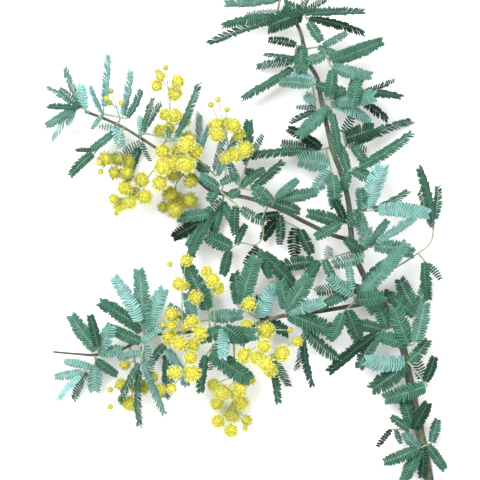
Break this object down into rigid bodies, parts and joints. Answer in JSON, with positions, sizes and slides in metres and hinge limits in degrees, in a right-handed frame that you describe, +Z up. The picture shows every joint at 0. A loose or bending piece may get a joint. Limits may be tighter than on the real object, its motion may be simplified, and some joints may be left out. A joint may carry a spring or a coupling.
{
  "type": "mimosa sprig",
  "caption": "Cut sprig of mimosa with feathery blue-green fronds and sprays of round yellow flower heads, lying flat.",
  "frame": {"origin": "centre of the flat spot under the leader's cut end, on the surface the sprig lies on", "axes": "+Y runs up the sprig from the cut end towards its top, -X towards the flowering branches, +Z up from the surface"},
  "size_m": [0.2003, 0.2566, 0.0478],
  "materials": {
    "bark": "rough grey-brown bark",
    "green_stem": "smooth grey-green young bark",
    "foliage": "matte glaucous leaf",
    "flower": "soft fluffy stamens"
  },
  "bodies": {
    "root": {"frond_base_01": "foliage", "frond_base_02": "foliage", "frond_base_03": "foliage", "frond_base_04": "foliage", "frond_base_05": "foliage", "frond_leader_01": "foliage", "frond_leader_02": "foliage", "frond_leader_03": "foliage", "frond_leader_04": "foliage", "frond_leader_05": "foliage", "frond_leader_06": "foliage", "frond_leader_07": "foliage", "frond_leader_08": "foliage", "frond_leader_09": "foliage", "frond_leader_10": "foliage", "frond_leader_11": "foliage", "frond_leader_12": "foliage", "frond_leader_13": "foliage", "frond_leader_14": "foliage", "frond_lower_01": "foliage", "frond_lower_02": "foliage", "frond_lower_03": "foliage", "frond_lower_04": "foliage", "frond_lower_05": "foliage", "frond_lower_06": "foliage", "frond_lower_07": "foliage", "frond_lower_08": "foliage", "frond_lower_09": "foliage", "frond_lower_10": "foliage", "frond_lower_11": "foliage", "frond_lower_12": "foliage", "frond_upper_01": "foliage", "frond_upper_02": "foliage", "frond_upper_03": "foliage", "frond_upper_04": "foliage", "frond_upper_05": "foliage", "frond_upper_06": "foliage", "frond_upper_07": "foliage", "frond_upper_08": "foliage", "frond_upper_09": "foliage", "frond_upper_10": "foliage", "frond_upper_11": "foliage", "leafy_twig_inner": "foliage", "leafy_twig_right": "foliage", "raceme_01": "flower", "raceme_02": "flower", "raceme_03": "flower", "raceme_04": "flower", "raceme_05": "flower", "raceme_06": "flower", "raceme_07": "flower", "raceme_08": "flower", "raceme_09": "flower", "raceme_10": "flower", "raceme_11": "flower", "raceme_12": "flower", "raceme_13": "flower", "stem_leader": "bark", "stem_lower_branch": "green_stem", "stem_upper_branch": "bark"}
  },
  "joints": []
}
